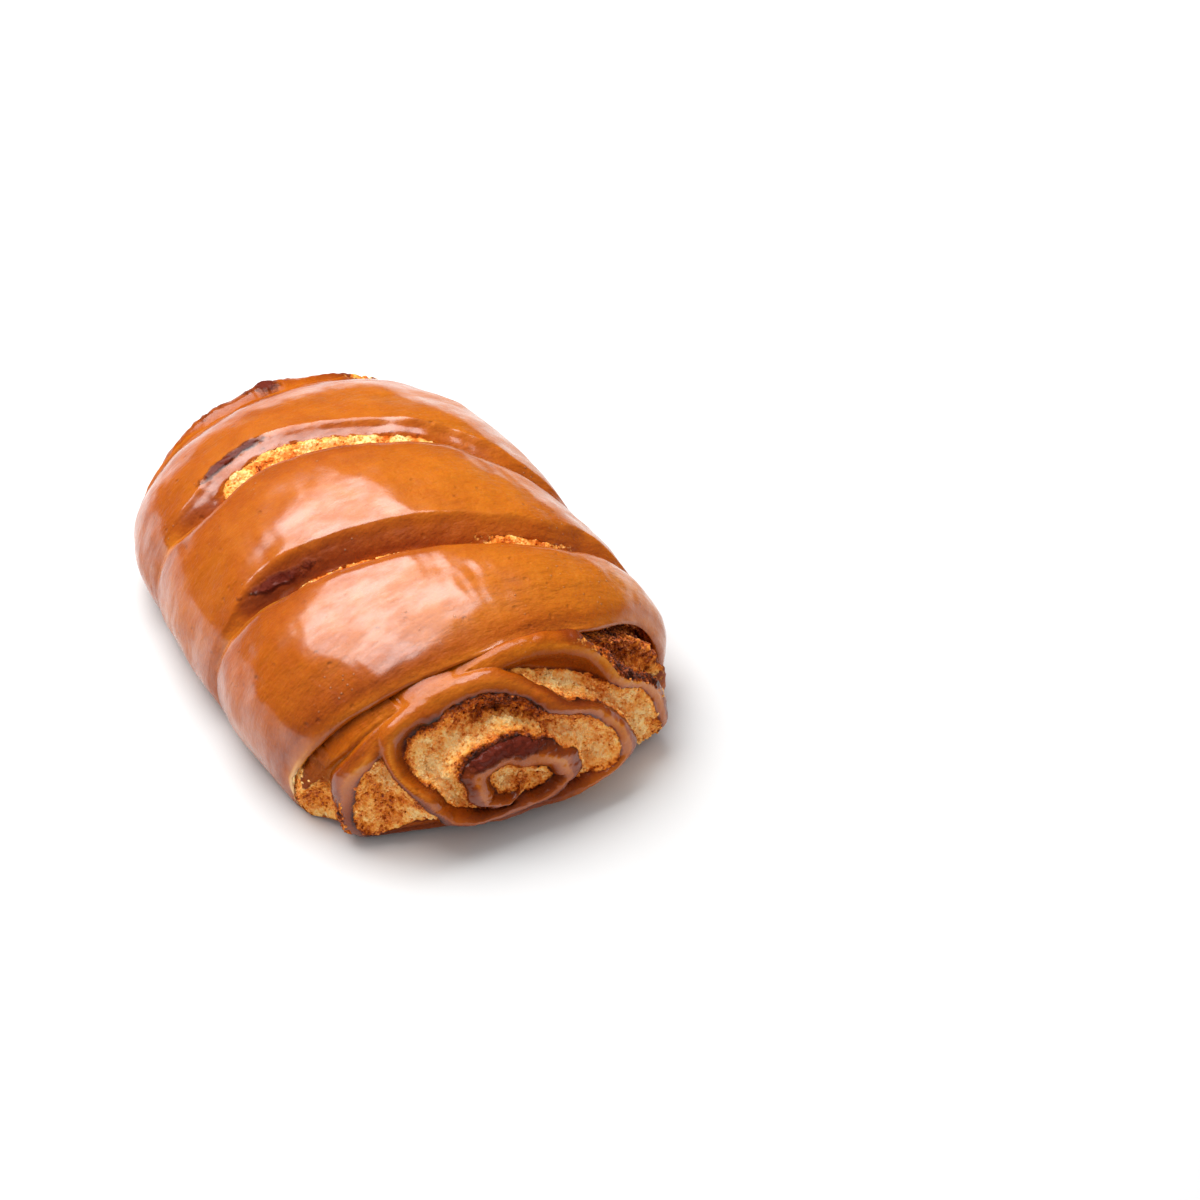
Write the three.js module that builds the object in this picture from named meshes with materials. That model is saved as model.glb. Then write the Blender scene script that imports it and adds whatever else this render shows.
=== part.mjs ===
import * as THREE from 'three';

// Whole sweet roll, millimetres, +Z up, +X towards the fuller spiral end.

// Loaf
const loafWidth = 90;
const loafHeight = 42.6;
const bellyHeight = 10.5;
const flatShare = 0.93;
const taperReach = 68.5;
const taperCentre = -3;
const topRoundNear = 3.0;
const topRoundFar = 2.0;
const sideRoundNear = 4.2;
const sideRoundFar = 2.9;
const bandBulge = 1.3;
const slimming = 2.6;
const slimFrom = 34;
const slimTo = 6;

// Rolled-over edge of the outer layer at each end; touches are where the spiral presses against it
const nearLip = {
  middle: 51.5, skew: 1.0, setBack: -8.5, notch: 2.5, roll: 3.0, crown: 1.5, gap: 0.6, depth: 3.2,
  cave: 4.2, touches: [[0.8, 0.46, 0.12], [0.7, 1.06, 0.13]],
};
const farLip = {
  middle: -53.0, skew: 1.5, setBack: 5.5, notch: 0, roll: 2.9, crown: 0.4, gap: 0.6, depth: 2.4,
  cave: 0, touches: [[0.85, 0.55, 0.36]],
};
const caveAngle = 0.2;
const caveSpread = 0.15;

// Slashes across the back
const farSlash = { middle: -17.5, skew: 15, shoulder: 7.5, hook: 0, reach: 9.0, depth: 4.8, crease: 0.35 };
const nearSlash = { middle: 22.0, skew: 13, shoulder: 0, hook: -3.5, reach: 9.0, depth: 5.8, crease: 0.7 };

// Spiral ends. A rope is the height and half width of a coil's crest. A coil is its share of the way
// out and then its swells: angle and spread in half turns, amount, power.
const nearSpiral = {
  tip: [66.6, -2.0, 12.5],
  fullness: 3.0,
  slope: 1.5,
  eye: 2.0,
  groove: 3.4,
  ropes: [[1.9, 3.1], [2.5, 2.6], [2.3, 2.4]],
  coils: [
    { share: 0.23, swells: [[0.74, 0.17, 0.13, 2], [1.5, 0.17, 0.1, 2]] },
    { share: 0.48, swells: [[0.68, 0.22, 0.42, 4], [0.2, 0.26, 0.09, 2], [1.2, 0.2, -0.05, 2]] },
    { share: 0.91, swells: [[0.45, 0.12, 0.07, 4], [0.18, 0.1, -0.12, 2], [1.1, 0.16, -0.08, 2]] },
  ],
  pressed: 0.65,
  ringsPerCoil: [8, 10, 9, 7],
};
const farSpiral = {
  tip: [-64.5, 0.0, 14.0],
  fullness: 2.6,
  slope: -0.4,
  eye: 1.4,
  groove: 2.4,
  ropes: [[1.5, 2.4], [1.5, 2.3], [1.4, 2.2]],
  coils: [
    { share: 0.25, swells: [[0.6, 0.3, 0.03, 2]] },
    { share: 0.52, swells: [[0.4, 0.3, 0.05, 2]] },
    { share: 0.8, swells: [[0.7, 0.3, 0.04, 2]] },
  ],
  pressed: null,
  ringsPerCoil: [4, 6, 6, 4],
};

// Mesh density
const around = 46;
const bandCount = 7;
const bandFirst = 0.02;
const wallShares = [0.08, 0.24, 0.46, 0.7, 1];

const smooth = (from, to, value) => {
  const t = Math.min(1, Math.max(0, (value - from) / (to - from)));
  return t * t * (3 - 2 * t);
};

// One smooth swell round the loaf; centre and spread in half turns.
const bump = (angle, centre, spread, power = 2) => {
  const away = angle - centre * Math.PI;
  const turn = Math.abs(Math.atan2(Math.sin(away), Math.cos(away)));
  return Math.exp(-((turn / (spread * Math.PI)) ** power));
};

const roundOff = (distance, power) => {
  const share = Math.min(0.985, Math.abs(distance) / taperReach);
  return (1 - share ** power) ** (1 / power);
};

// D-shaped cross-section: half-oval back, tucked-in sides, flat base.
const sectionPoint = (x, angle) => {
  const along = x - taperCentre;
  const side = roundOff(along, along > 0 ? sideRoundNear : sideRoundFar);
  const top = roundOff(along, along > 0 ? topRoundNear : topRoundFar);
  const rise = Math.sin(angle);
  const drawn = 2 * slimming / loafWidth * smooth(-slimFrom, -slimTo, -x);
  const flank = 1 - drawn * Math.max(0, Math.cos(angle));
  const tuck = 1 / Math.sqrt(1 - flatShare * flatShare);
  const back = bellyHeight + (loafHeight - bellyHeight) * top * rise;
  const belly = Math.max(0, bellyHeight * (1 + tuck * rise));
  return new THREE.Vector3(x, 0.5 * loafWidth * side * flank * Math.cos(angle), rise >= 0 ? back : belly);
};

const lipAt = (lip, angle) => {
  const rise = Math.max(0, Math.sin(angle));
  const notch = lip.notch * bump(angle, 0.17, 0.1);
  return lip.middle + lip.skew * Math.cos(angle) + lip.setBack * (1 - rise) - notch;
};

const slashAt = (slash, angle) => {
  const rise = Math.max(0, Math.sin(angle));
  const hook = slash.hook * smooth(0.55, 0.8, Math.cos(angle));
  return slash.middle + slash.skew * Math.cos(angle) + slash.shoulder * smooth(0, 0.35, 1 - rise) + hook;
};

const openness = (angle) => {
  const left = 1 - smooth(0.71 * Math.PI, 0.88 * Math.PI, angle);
  const right = smooth(0.06 * Math.PI, 0.3 * Math.PI, angle);
  return angle > 1.25 * Math.PI ? 0 : left * right;
};

const offFloor = (angle) => smooth(-0.36, 0.1, Math.sin(angle));

const slashReach = (slash, angle) => slash.reach * (0.35 + 0.65 * openness(angle));

// Depth of a slash at a distance from its sharp near edge; negative is the far, rolled side.
const slashDrop = (slash, angle, distance) => {
  const reach = slashReach(slash, angle);
  const depth = slash.depth * openness(angle) + slash.crease * offFloor(angle);
  if (distance <= -reach || distance > 1.2) {
    return 0;
  }
  if (distance > -0.7) {
    return depth * (1 - smooth(-0.7, 0.3, distance));
  }
  const share = (distance + reach) / (reach - 0.7);
  return depth * Math.min(1, share ** 1.7);
};

// A point on the rounded end: an oval in the middle, the loaf's own outline at the rim.
const capPoint = (spiral, lip, share, angle) => {
  const rim = sectionPoint(lipAt(lip, angle), angle);
  const [tipX, tipY, tipZ] = spiral.tip;
  const rise = Math.sin(angle);
  const forward = 1 - share ** (spiral.fullness - spiral.slope * rise);
  const ovalY = 0.49 * loafWidth * Math.cos(angle);
  const ovalZ = rise * (rise > 0 ? 0.94 * loafHeight - tipZ : tipZ);
  const squared = smooth(0.25, 0.8, share);
  return new THREE.Vector3(
    rim.x + (tipX - rim.x) * forward,
    tipY + (ovalY + (rim.y - tipY - ovalY) * squared) * share,
    tipZ + (ovalZ + (rim.z - tipZ - ovalZ) * squared) * share,
  );
};

// The edge is thinner over the crown than down the sides.
const rollAt = (lip, angle) => lip.roll - lip.crown * bump(angle, 0.5, 0.3);

// How far the hollow between spiral and lip stands open.
const gapOpen = (lip, angle) => {
  const closed = lip.touches.reduce((sum, [amount, at, wide]) => sum + amount * bump(angle, at, wide), 0);
  return (0.3 + 0.7 * offFloor(angle)) * (1 - closed);
};

const lipFrame = (spiral, lip, angle) => {
  const rim = sectionPoint(lipAt(lip, angle), angle);
  const aim = new THREE.Vector3(0, spiral.tip[1] - rim.y, spiral.tip[2] - rim.z);
  const span = aim.length();
  return { rim, span, aim: aim.divideScalar(span) };
};

// Middle, every coil and the rim as shares of the way out.
const plainShares = (spiral, angle) => [
  0,
  ...spiral.coils.map(({ share, swells }) => (
    swells.reduce((sum, [at, wide, size, power]) => sum + size * bump(angle, at, wide, power), share)
  )),
  1,
];

const mean = (first, second) => 0.5 * (first + second);

// Crests at one angle, inside first: each coil opens into the next one under the loaf.
const crestsAt = (spiral, plain, angle) => {
  const run = THREE.MathUtils.euclideanModulo(angle + 0.5 * Math.PI, 2 * Math.PI) / (2 * Math.PI);
  const opening = 1 - smooth(0, 0.13, run);
  const closing = smooth(0.87, 1, run);
  const crests = spiral.ropes.map(([high, wide], i) => {
    const [nextHigh, nextWide] = spiral.ropes[i + 1] ?? [high, wide];
    const [lastHigh, lastWide] = spiral.ropes[i - 1] ?? [high, wide];
    const blend = (own, next, last) => (
      own + opening * (mean(own, next) - own) + closing * (mean(own, last) - own)
    );
    return {
      at: blend(plain[i + 1], plain[i + 2], plain[i]),
      high: blend(high, nextHigh, lastHigh),
      wide: blend(wide, nextWide, lastWide) * (0.62 + 0.38 * offFloor(angle)),
    };
  });
  return { crests, first: 1 - smooth(0, 0.08, run), last: smooth(0.92, 1, run) };
};

// Height of the given crests and depth of the valleys between them.
const reliefOf = (spiral, crests, place, span, angle) => {
  const crown = bump(angle, 0.5, 0.26);
  const pressed = spiral.pressed === null ? 0 : bump(angle, spiral.pressed, 0.17, 4);
  const ridges = crests.map(({ at, high, wide }, i) => {
    const away = (place - at) * span / wide;
    const fade = i === 2 ? 1 - 0.92 * pressed : 1;
    return high * fade * Math.max(0, 1 - away * away) ** 0.6;
  });
  const coil = crests.filter(({ at }) => place >= at).length;
  const inner = coil > 0 ? crests[coil - 1] : { at: 0, wide: 0 };
  const outer = coil < crests.length ? crests[coil] : { at: 1, wide: 0 };
  const outward = Math.max(0, (place - inner.at) * span - 0.7 * inner.wide);
  const inward = Math.max(0, (outer.at - place) * span - 0.7 * outer.wide);
  const part = outward / (outward + inward + 0.01);
  const deepest = 0.45 + 0.28 * crown;
  const bowl = smooth(0, deepest, part) * (1 - smooth(deepest + 0.04, 1, part));
  const room = (1 - Math.exp(-(outward + inward) / 5)) * (coil === 0 ? 0.2 : 1);
  const valley = bowl * room * (coil >= 2 ? 1 - 0.85 * pressed : 1);
  const eye = coil === 0 ? 1 - smooth(0.3, 1, part) : 0;
  return Math.max(0, ...ridges) - spiral.groove * valley - spiral.eye * eye;
};

// The outermost crest starts and the innermost one ends under the loaf.
const coilRelief = (spiral, plain, place, span, angle) => {
  const { crests, first, last } = crestsAt(spiral, plain, angle);
  const whole = reliefOf(spiral, crests, place, span, angle);
  const started = first > 0 ? reliefOf(spiral, crests.slice(0, -1), place, span, angle) : whole;
  const ended = last > 0 ? reliefOf(spiral, crests.slice(1), place, span, angle) : whole;
  return whole + first * (started - whole) + last * (ended - whole);
};

// Rings of a rounded end, each following the coils round.
const capRings = (spiral, lip) => spiral.ringsPerCoil.flatMap((count, coil) => (
  Array.from({ length: count }, (_, i) => (angle) => {
    const plain = plainShares(spiral, angle);
    const place = plain[coil] + (plain[coil + 1] - plain[coil]) * (i + 1) / count;
    const { span } = lipFrame(spiral, lip, angle);
    const hollow = (1.25 * rollAt(lip, angle) + lip.gap) * gapOpen(lip, angle);
    const point = capPoint(spiral, lip, place * (1 - hollow / span), angle);
    const shallow = smooth(0, 8, point.z) * (0.3 + 0.7 * smooth(-0.95, -0.3, Math.sin(angle)));
    const relief = coilRelief(spiral, plain, place, span, angle) * (0.15 + 0.85 * shallow);
    return { point, relief };
  })
));

// From the hollow beside the spiral, up the inner face and over the rolled edge.
const gapSteps = [
  { inset: 1.25, gap: 0.8, back: 1, sink: 1, open: 1 },
  { inset: 1.2, gap: 0.2, back: 1, sink: 1, open: 0.3 },
  { inset: 1.1, gap: 0, back: 0.3, sink: 0.25, open: 0 },
  { inset: 0.9, gap: 0, back: 0, sink: 0, open: 0 },
  { inset: 0.5, gap: 0, back: 0.13, sink: 0, open: 0 },
  { inset: 0.16, gap: 0, back: 0.46, sink: 0, open: 0 },
];

const gapRings = (spiral, lip) => gapSteps.map((step) => (angle) => {
  const { rim, aim } = lipFrame(spiral, lip, angle);
  const lift = gapOpen(lip, angle);
  const mouth = lip.cave * bump(angle, caveAngle, caveSpread);
  const roll = rollAt(lip, angle);
  const shift = (roll * step.inset + lip.gap * step.gap + mouth * step.open) * lift;
  const sink = (lip.depth * (1 - 0.1 * mouth) + 0.2 * mouth) * step.sink * lift;
  const point = rim.addScaledVector(aim, shift);
  point.x -= Math.sign(spiral.tip[0]) * (roll * step.back + sink);
  return { point, relief: 0 };
});

const bandPoint = (band, x, angle) => {
  const share = (band.from(angle) - x) / (band.from(angle) - band.to(angle));
  const bulge = bandBulge * Math.sin(Math.PI * Math.min(1, Math.max(0, share))) ** 0.8 * offFloor(angle);
  const drop = slashDrop(nearSlash, angle, x - slashAt(nearSlash, angle))
    + slashDrop(farSlash, angle, x - slashAt(farSlash, angle));
  return { point: sectionPoint(x, angle), relief: bulge - drop };
};

// Rings of one band, running away from its near edge; a slash there gets rings of its own.
const bandRings = (band) => {
  const made = [];
  const reach = (angle) => (band.slash ? slashReach(band.slash, angle) : 0);
  if (band.slash) {
    wallShares.forEach((share) => {
      made.push((angle) => bandPoint(band, band.from(angle) - share * reach(angle), angle));
    });
  }
  for (let i = 0; i < bandCount; i += 1) {
    const mix = bandFirst + (1 - bandFirst) * i / (bandCount - 1);
    made.push((angle) => {
      const start = band.from(angle) - reach(angle);
      return bandPoint(band, start + (band.to(angle) - start) * mix, angle);
    });
  }
  return made;
};

const seams = [
  (angle) => lipAt(nearLip, angle) - rollAt(nearLip, angle),
  (angle) => slashAt(nearSlash, angle),
  (angle) => slashAt(farSlash, angle),
  (angle) => lipAt(farLip, angle) + rollAt(farLip, angle),
];
const bands = [
  { from: seams[0], to: seams[1], slash: null },
  { from: seams[1], to: seams[2], slash: nearSlash },
  { from: seams[2], to: seams[3], slash: farSlash },
];

// Every ring is a function of the angle giving a base point and a height along the normal.
const rings = [
  ...capRings(nearSpiral, nearLip),
  ...gapRings(nearSpiral, nearLip),
  ...bands.flatMap(bandRings),
  ...gapRings(farSpiral, farLip).reverse(),
  ...capRings(farSpiral, farLip).reverse(),
];

// More columns round the back than under the base.
const angleAt = (column) => {
  const even = 2 * Math.PI * column / around;
  return even + 0.22 * Math.cos(even);
};

const grid = rings.map((ring) => Array.from({ length: around }, (_, column) => ring(angleAt(column))));

const raised = grid.map((row, i) => row.map(({ point, relief }, j) => {
  const above = grid[Math.max(0, i - 1)][j].point;
  const below = grid[Math.min(grid.length - 1, i + 1)][j].point;
  const left = row[(j + around - 1) % around].point;
  const right = row[(j + 1) % around].point;
  const normal = below.clone().sub(above).cross(right.clone().sub(left)).normalize();
  return point.clone().addScaledVector(normal, relief);
}));

const positions = [];
const indices = [];
raised.flat().forEach((point) => positions.push(point.x, point.y, Math.max(0, point.z)));
const nearPole = positions.length / 3;
const [nearX, nearY, nearZ] = nearSpiral.tip;
const [farX, farY, farZ] = farSpiral.tip;
positions.push(nearX - nearSpiral.eye, nearY, nearZ);
positions.push(farX + farSpiral.eye, farY, farZ);

for (let j = 0; j < around; j += 1) {
  const next = (j + 1) % around;
  indices.push(nearPole, j, next);
  for (let i = 0; i + 1 < raised.length; i += 1) {
    const here = i * around;
    const below = here + around;
    indices.push(here + j, below + j, below + next);
    indices.push(here + j, below + next, here + next);
  }
  const last = (raised.length - 1) * around;
  indices.push(nearPole + 1, last + next, last + j);
}

const geometry = new THREE.BufferGeometry();
geometry.setAttribute('position', new THREE.Float32BufferAttribute(positions, 3));
geometry.setIndex(indices);
geometry.computeBoundingBox();
const { min, max } = geometry.boundingBox;
geometry.translate(-0.5 * (min.x + max.x), -0.5 * (min.y + max.y), -min.z);
geometry.computeVertexNormals();

const crust = new THREE.MeshStandardMaterial({ color: 0xc4701a, roughness: 0.35, metalness: 0 });
crust.name = 'crust';
const roll = new THREE.Mesh(geometry, crust);
roll.name = 'sweet_roll';

const group = new THREE.Group();
group.name = 'sweet_roll_part';
group.add(roll);

export default group;
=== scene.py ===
import math

import bpy
import numpy as np
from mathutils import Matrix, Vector, noise


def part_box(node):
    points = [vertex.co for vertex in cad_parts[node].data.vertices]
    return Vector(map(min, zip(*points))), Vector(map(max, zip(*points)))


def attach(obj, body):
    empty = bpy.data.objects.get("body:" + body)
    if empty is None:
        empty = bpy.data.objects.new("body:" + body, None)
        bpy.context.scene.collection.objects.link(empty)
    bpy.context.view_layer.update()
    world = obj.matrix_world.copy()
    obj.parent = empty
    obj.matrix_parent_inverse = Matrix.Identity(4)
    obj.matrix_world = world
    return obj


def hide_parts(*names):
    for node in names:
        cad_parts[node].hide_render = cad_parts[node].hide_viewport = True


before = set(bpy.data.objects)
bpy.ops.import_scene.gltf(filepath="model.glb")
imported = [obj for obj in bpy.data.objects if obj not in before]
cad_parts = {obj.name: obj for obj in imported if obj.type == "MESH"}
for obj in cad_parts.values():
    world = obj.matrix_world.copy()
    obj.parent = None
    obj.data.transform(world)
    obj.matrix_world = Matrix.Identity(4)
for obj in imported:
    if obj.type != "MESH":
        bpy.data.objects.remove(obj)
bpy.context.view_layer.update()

rollLow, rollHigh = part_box("sweet_roll")
mm = 0.001
pi = math.pi

# Lengths of the loaf are in millimetres and become metres when the mesh is made.
# Angles run round the loaf: 0 at +Y, a quarter turn at the top, a half turn at -Y.
loaf = {
    "width": 90.0,
    "height": 42.6,
    "bellyHeight": 10.5,
    "flatShare": 0.93,
    "taperReach": 68.5,
    "taperCentre": -3.0,
    "topRound": (3.0, 2.0),      # towards the near end, towards the far end
    "sideRound": (4.2, 2.9),
    "bandBulge": 1.3,
    "slimming": (2.6, 34.0, 6.0),  # how much the +Y side draws in behind the near end
    "unevenness": 0.7,
    "columns": 326,
    "columnWarp": 0.3,
    "inset": 0.35,               # kept clear inside the frame's box
}

# Rolled edge of the outer layer at each end; notch, cave and touches are amount, angle and spread
nearLip = {
    "middle": 51.5, "skew": 1.0, "setBack": -8.5, "roll": 3.0, "crown": 1.5, "gap": 0.6, "depth": 3.2,
    "notch": (2.5, 0.17 * pi, 0.1 * pi),
    "cave": (4.2, 0.2 * pi, 0.15 * pi),
    "touches": [(0.8, 0.46 * pi, 0.12 * pi), (0.7, 1.06 * pi, 0.13 * pi)],   # pressed against the spiral
}
farLip = {
    "middle": -53.0, "skew": 1.5, "setBack": 5.5, "roll": 2.9, "crown": 0.4, "gap": 0.6, "depth": 2.4,
    "notch": (0.0, 0.0, 1.0),
    "cave": (0.0, 0.0, 1.0),
    "touches": [(0.85, 0.55 * pi, 0.36 * pi)],
}

# Slashes across the back
farSlash = {
    "middle": -17.5, "skew": 15.0, "shoulder": 7.5, "hook": 0.0, "reach": 9.0, "depth": 4.8, "crease": 0.35,
    "burn": (0.675 * pi, 0.07 * pi, -8.6, 1.1),   # angle, spread, distance and width of a scorched spot
    "tornStart": 0.34,                            # share of the way down the rolled wall
    "tornSpan": (0.38 * pi, 0.7 * pi),
    "toastAndShade": 0.12,
    "flank": 0.0,                                 # rough strip along the wall, +Y side
}
nearSlash = {
    "middle": 22.0, "skew": 13.0, "shoulder": 0.0, "hook": -3.5, "reach": 9.0, "depth": 5.8, "crease": 0.7,
    "burn": (0.735 * pi, 0.07 * pi, -5.2, 1.3),
    "tornStart": 0.6,
    "tornSpan": (0.36 * pi, 0.7 * pi),
    "toastAndShade": 0.2,
    "flank": 0.85,
}
# Where a slash ends and how its wall falls, the same for both
slashEdge = {"sharp": -0.7, "crest": 0.35, "outer": 1.2, "firstDrop": 0.16, "roundness": 1.8}

# A coil has a share of the way out, then swells given as angle in half turns, spread, amount and power
nearSpiral = {
    "tip": (66.6, -2.0, 12.5), "fullness": 3.0, "slope": 1.5, "eye": 2.4, "groove": 4.4,
    "ropes": [(2.1, 3.1), (2.5, 2.6), (2.3, 2.4)],   # height and half width of each coil's crest
    "coils": [
        (0.23, [(0.74, 0.17, 0.13, 2), (1.5, 0.17, 0.1, 2)]),
        (0.48, [(0.68, 0.22, 0.42, 4), (0.2, 0.26, 0.09, 2), (1.2, 0.2, -0.05, 2), (-0.04, 0.1, 0.05, 2)]),
        (0.91, [(0.45, 0.12, 0.07, 4), (0.18, 0.1, -0.12, 2), (0.9, 0.15, 0.02, 2), (-0.03, 0.09, -0.07, 2),
                (1.06, 0.13, -0.08, 2), (1.24, 0.09, -0.08, 2)]),
    ],
    "knobs": [],
    "knobHeight": 0.0,
}
farSpiral = {
    "tip": (-64.5, 0.0, 14.0), "fullness": 2.6, "slope": -0.4, "eye": 1.4, "groove": 2.6,
    "ropes": [(1.5, 2.4), (1.5, 2.3), (1.4, 2.2)],
    "coils": [
        (0.25, [(0.6, 0.3, 0.03, 2)]),
        (0.52, [(0.4, 0.3, 0.05, 2)]),
        (0.80, [(0.7, 0.3, 0.04, 2)]),
    ],
    "knobs": [(0.53 * pi, 0.05 * pi, 1.0), (0.67 * pi, 0.05 * pi, 0.6)],   # scorched bumps, outer coil
    "knobHeight": 1.2,
}

# Oval of the middle of each end, as shares of the loaf's width and height
ovalShares = {"halfWidth": 0.49, "height": 0.94}

ringCounts = {"nearCap": 124, "farCap": 36, "nearGap": 20, "farGap": 10, "band": 17, "wall": 32}

zoneNames = ["torn", "brown", "burn", "pale", "glaze", "wrinkle"]


def smooth(start, end, value):
    share = np.clip((value - start) / (end - start), 0.0, 1.0)
    return share * share * (3 - 2 * share)


def swell(angle, centre, spread, power=2):
    away = np.arctan2(np.sin(angle - centre), np.cos(angle - centre))
    return np.exp(-np.abs(away / spread) ** power)


def roundOff(distance, power):
    share = np.minimum(0.985, np.abs(distance) / loaf["taperReach"])
    return (1 - share ** power) ** (1 / power)


def stack(x, y, z):
    return np.stack(np.broadcast_arrays(x, y, z), axis=-1).astype(float)


# Half-oval back, tucked-in sides, flat base.
def sectionPoint(x, angle):
    x = x + 0 * angle
    along = x - loaf["taperCentre"]
    ahead = along > 0
    side = np.where(ahead, roundOff(along, loaf["sideRound"][0]), roundOff(along, loaf["sideRound"][1]))
    top = np.where(ahead, roundOff(along, loaf["topRound"][0]), roundOff(along, loaf["topRound"][1]))
    drawn, start, end = loaf["slimming"]
    flank = 1 - 2 * drawn / loaf["width"] * smooth(-start, -end, -x) * np.maximum(0, np.cos(angle))
    rise = np.sin(angle)
    tuck = 1 / math.sqrt(1 - loaf["flatShare"] ** 2)
    back = loaf["bellyHeight"] + (loaf["height"] - loaf["bellyHeight"]) * top * rise
    belly = np.maximum(0, loaf["bellyHeight"] * (1 + tuck * rise))
    return stack(x, 0.5 * loaf["width"] * side * flank * np.cos(angle), np.where(rise >= 0, back, belly))


def lipAt(lip, angle):
    rise = np.maximum(0, np.sin(angle))
    cut, centre, spread = lip["notch"]
    notch = cut * swell(angle, centre, spread)
    return lip["middle"] + lip["skew"] * np.cos(angle) + lip["setBack"] * (1 - rise) - notch


def rollAt(lip, angle):
    return lip["roll"] - lip["crown"] * swell(angle, 0.5 * pi, 0.3 * pi)


def slashAt(slash, angle):
    rise = np.maximum(0, np.sin(angle))
    shoulder = slash["shoulder"] * smooth(0, 0.35, 1 - rise)
    hook = slash["hook"] * smooth(0.55, 0.8, np.cos(angle))
    return slash["middle"] + slash["skew"] * np.cos(angle) + shoulder + hook


# A slash gapes over the back and runs out down both sides.
def openness(angle):
    left = 1 - smooth(0.71 * pi, 0.88 * pi, angle)
    right = smooth(0.06 * pi, 0.3 * pi, angle)
    return np.where(angle > 1.25 * pi, 0, left * right)


def offFloor(angle):
    return smooth(-0.36, 0.1, np.sin(angle))


def slashReach(slash, angle):
    return slash["reach"] * (0.35 + 0.65 * openness(angle))


# Depth of a slash; distance is negative on the far side, which rolls over into it.
def slashDrop(slash, angle, distance):
    reach = slashReach(slash, angle)
    depth = slash["depth"] * openness(angle) + slash["crease"] * offFloor(angle)
    sharp, first = slashEdge["sharp"], slashEdge["firstDrop"]
    share = np.clip((distance + reach) / (reach + sharp), 0, 1)
    fall = first * smooth(0.0, 0.3, share) + (1 - first) * share ** slashEdge["roundness"]
    rolled = depth * np.minimum(1, fall)
    cut = depth * (1 - smooth(sharp, slashEdge["crest"], distance))
    return np.where(distance > slashEdge["outer"], 0, np.where(distance > sharp, cut, rolled))


# Crumb, browning with painted shade on the rolled wall, pale edge and scorched spot of one slash.
def slashZones(slash, angle, distance):
    reach = slashReach(slash, angle)
    share = (distance + reach) / reach
    gaping = smooth(0.12, 0.45, openness(angle))
    inside = np.where((distance > -reach) & (distance < slashEdge["outer"]), 1.0, 0.0)
    start = slash["tornStart"] + 0.14 * (1 - swell(angle, 0.6 * pi, 0.2 * pi))
    first, last = slash["tornSpan"]
    torn = smooth(start, start + 0.16, share) * (1 - smooth(0.97, 1.04, share)) * gaping
    torn = torn * smooth(first - 0.1 * pi, first, angle) * (1 - smooth(last, last + 0.05 * pi, angle))
    strip = slash["flank"] * swell(angle, 0.34 * pi, 0.085 * pi, 4)
    strip = strip * smooth(0.4, 0.5, share) * (1 - smooth(0.72, 0.85, share))
    torn = np.maximum(torn, strip)
    # Rolled wall darker: toasted crust with painted shade where the wall turns away from the light
    wall = slash["toastAndShade"] * smooth(0.0, 0.3, share) * (1 - smooth(0.6, 0.75, share))
    wall = wall * (0.5 + 0.5 * smooth(0.4 * pi, 0.7 * pi, angle))
    brown = (wall + 0.1 * smooth(0.6, 0.75, share)) * gaping + 0.16 * strip
    pale = np.exp(-((distance - 0.1) / 0.9) ** 2) * (0.3 + 0.6 * gaping) * offFloor(angle)
    pale = pale + 0.4 * swell(angle, 0.86 * pi, 0.1 * pi) * np.exp(-((distance + 0.8) / 2.0) ** 2)
    pale = np.maximum(pale, 0.45 * torn * inside) * (1 - strip)
    place, spread, where, width = slash["burn"]
    burn = swell(angle, place, spread) * np.exp(-((distance - where) / width) ** 2)
    return {"torn": torn * inside, "brown": brown * inside, "pale": pale, "burn": burn}


# A point on the rounded end: an oval in the middle, the loaf's own outline at the rim.
def capPoint(spiral, lip, share, angle):
    rim = sectionPoint(lipAt(lip, angle), angle)
    tip = np.array(spiral["tip"])
    rise = np.sin(angle)
    forward = 1 - share ** (spiral["fullness"] - spiral["slope"] * rise)
    upright = np.where(rise > 0, ovalShares["height"] * loaf["height"] - tip[2], tip[2]) * rise
    oval = stack(0, ovalShares["halfWidth"] * loaf["width"] * np.cos(angle), upright)
    squared = smooth(0.25, 0.8, share)[:, None]
    flat = tip + ((rim - tip) * squared + oval * (1 - squared)) * share[:, None]
    return stack(rim[:, 0] + (tip[0] - rim[:, 0]) * forward, flat[:, 1], flat[:, 2])


# Where the spiral presses against the lip the hollow between them closes.
def gapOpen(lip, angle):
    closed = sum(amount * swell(angle, centre, spread) for amount, centre, spread in lip["touches"])
    return (0.3 + 0.7 * offFloor(angle)) * (1 - closed)


# Crests of the coils, inside first; each opens into the next one under the loaf.
def crestsAt(spiral, angle):
    run = np.mod(angle + 0.5 * pi, 2 * pi) / (2 * pi)
    opening = 1 - smooth(0, 0.13, run)
    closing = smooth(0.87, 1, run)
    shares = [0 * angle]
    for share, swells in spiral["coils"]:
        lifts = [size * swell(angle, at * pi, spread * pi, power) for at, spread, size, power in swells]
        shares.append(share + sum(lifts))
    shares.append(1 + 0 * angle)
    ropes = [spiral["ropes"][0], *spiral["ropes"], spiral["ropes"][-1]]
    narrow = 0.62 + 0.38 * offFloor(angle)

    def blend(inside, own, outside):
        return own + 0.5 * opening * (outside - own) - 0.5 * closing * (own - inside)

    crests = []
    for i in range(1, len(shares) - 1):
        at = blend(shares[i - 1], shares[i], shares[i + 1])
        high, wide = (blend(ropes[i - 1][k], ropes[i][k], ropes[i + 1][k]) for k in (0, 1))
        crests.append({"at": at, "high": high, "wide": wide * narrow})
    return crests, 1 - smooth(0, 0.08, run), smooth(0.92, 1, run)


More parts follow.
